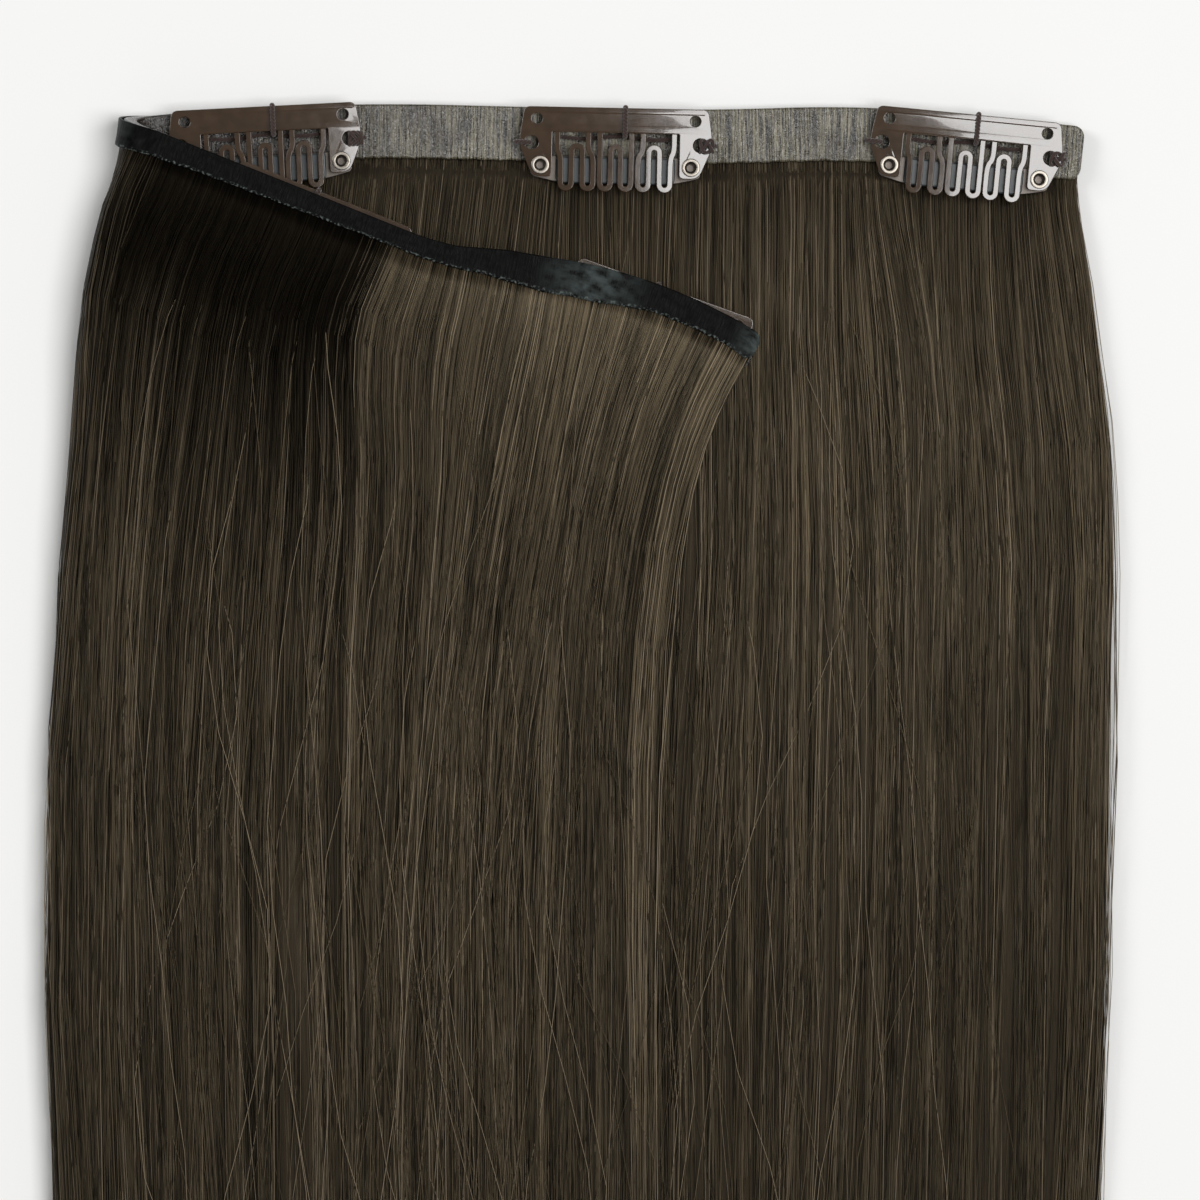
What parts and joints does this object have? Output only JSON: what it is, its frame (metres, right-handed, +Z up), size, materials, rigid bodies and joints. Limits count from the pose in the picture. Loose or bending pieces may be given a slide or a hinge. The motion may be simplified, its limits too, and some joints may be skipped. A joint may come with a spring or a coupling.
{
  "type": "clip in hair extension",
  "caption": "One-piece clip in hair extension: straight hair on a soft strip with sewn snap clips, laid flat with one end folded over to show the clips.",
  "frame": {"origin": "centre of the object's box, on the surface that it lies on", "axes": "+X along the strip towards its right end, +Y up the hair towards the strip's top edge, +Z up from the surface"},
  "size_m": [0.175, 0.386, 0.0134],
  "materials": {
    "hair": "straight fibre, satin",
    "band_skin": "moulded polyurethane skin, streaked, semi-gloss",
    "band_cover": "dark polyurethane, scuffed",
    "enamelled_steel": "gloss enamel on spring steel",
    "bar_steel": "gloss enamel on steel",
    "grip_silicone": "smooth silicone",
    "nickel": "nickel plate, polished",
    "sewing_thread": "twisted thread"
  },
  "bodies": {
    "weft": {"weft_base": "band_skin", "weft_cover": "band_cover", "hair_back": "hair", "hair_front": "hair", "clip_1_plate": "enamelled_steel", "clip_1_bar": "bar_steel", "clip_1_grip": "grip_silicone", "clip_1_stitch_left": "sewing_thread", "clip_1_stitch_mid": "sewing_thread", "clip_1_stitch_right": "sewing_thread", "clip_1_rivet_left": "nickel", "clip_1_rivet_right": "nickel", "clip_2_plate": "enamelled_steel", "clip_2_bar": "bar_steel", "clip_2_grip": "grip_silicone", "clip_2_stitch_left": "sewing_thread", "clip_2_stitch_mid": "sewing_thread", "clip_2_stitch_right": "sewing_thread", "clip_2_rivet_left": "nickel", "clip_2_rivet_right": "nickel", "clip_3_plate": "enamelled_steel", "clip_3_bar": "bar_steel", "clip_3_grip": "grip_silicone", "clip_3_stitch_left": "sewing_thread", "clip_3_stitch_mid": "sewing_thread", "clip_3_stitch_right": "sewing_thread", "clip_3_rivet_left": "nickel", "clip_3_rivet_right": "nickel", "clip_4_plate": "enamelled_steel", "clip_4_bar": "bar_steel", "clip_4_grip": "grip_silicone", "clip_4_stitch_left": "sewing_thread", "clip_4_stitch_mid": "sewing_thread", "clip_4_stitch_right": "sewing_thread", "clip_4_rivet_left": "nickel", "clip_4_rivet_right": "nickel", "clip_5_plate": "enamelled_steel", "clip_5_bar": "bar_steel", "clip_5_grip": "grip_silicone", "clip_5_stitch_left": "sewing_thread", "clip_5_stitch_mid": "sewing_thread", "clip_5_stitch_right": "sewing_thread", "clip_5_rivet_left": "nickel", "clip_5_rivet_right": "nickel"},
    "clip_2_comb": {"clip_2_comb_left": "enamelled_steel", "clip_2_comb_mid": "enamelled_steel", "clip_2_comb_right": "enamelled_steel"},
    "clip_3_comb": {"clip_3_comb_left": "enamelled_steel", "clip_3_comb_mid": "enamelled_steel", "clip_3_comb_right": "enamelled_steel"}
  },
  "joints": [
    {"name": "clip_2_snap", "type": "hinge", "parent": "weft", "child": "clip_2_comb", "pos_m": [0.00637, 0.18746, 0.0054], "axis": [-0.9998, 0.0212, 0], "range_deg": [0, 30]},
    {"name": "clip_3_snap", "type": "hinge", "parent": "weft", "child": "clip_3_comb", "pos_m": [0.06468, 0.18646, 0.0054], "axis": [-0.9953, 0.0972, 0], "range_deg": [0, 30]}
  ]
}
